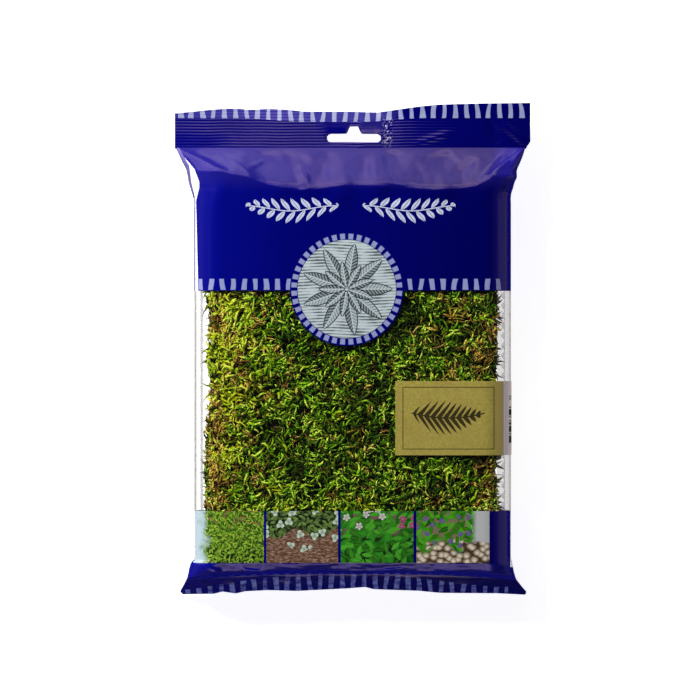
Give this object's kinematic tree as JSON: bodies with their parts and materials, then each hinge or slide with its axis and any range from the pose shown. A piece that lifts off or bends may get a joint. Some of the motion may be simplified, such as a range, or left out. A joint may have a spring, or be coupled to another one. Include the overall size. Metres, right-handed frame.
{
  "type": "bagged sheet moss",
  "caption": "Flat pillow bag of folded sheet moss lying on its back, with a clear window, a crimped header with a hang hole, a crimped bottom flap and a gold paper sticker round one side.",
  "frame": {"origin": "middle of the bag's length and width, on the surface it lies on", "axes": "+X across the bag to the right of its front, +Y along the bag from the bottom flap to the header, +Z out of its front"},
  "size_m": [0.22, 0.3048, 0.0428],
  "materials": {
    "printed_film": "gloss",
    "clear_film": "gloss",
    "gold_paper": "satin",
    "moss": "matte"
  },
  "bodies": {
    "root": {"header_film": "printed_film", "window_film": "clear_film", "footer_film": "printed_film", "gold_sticker": "gold_paper", "sheet_moss": "moss"}
  },
  "joints": []
}
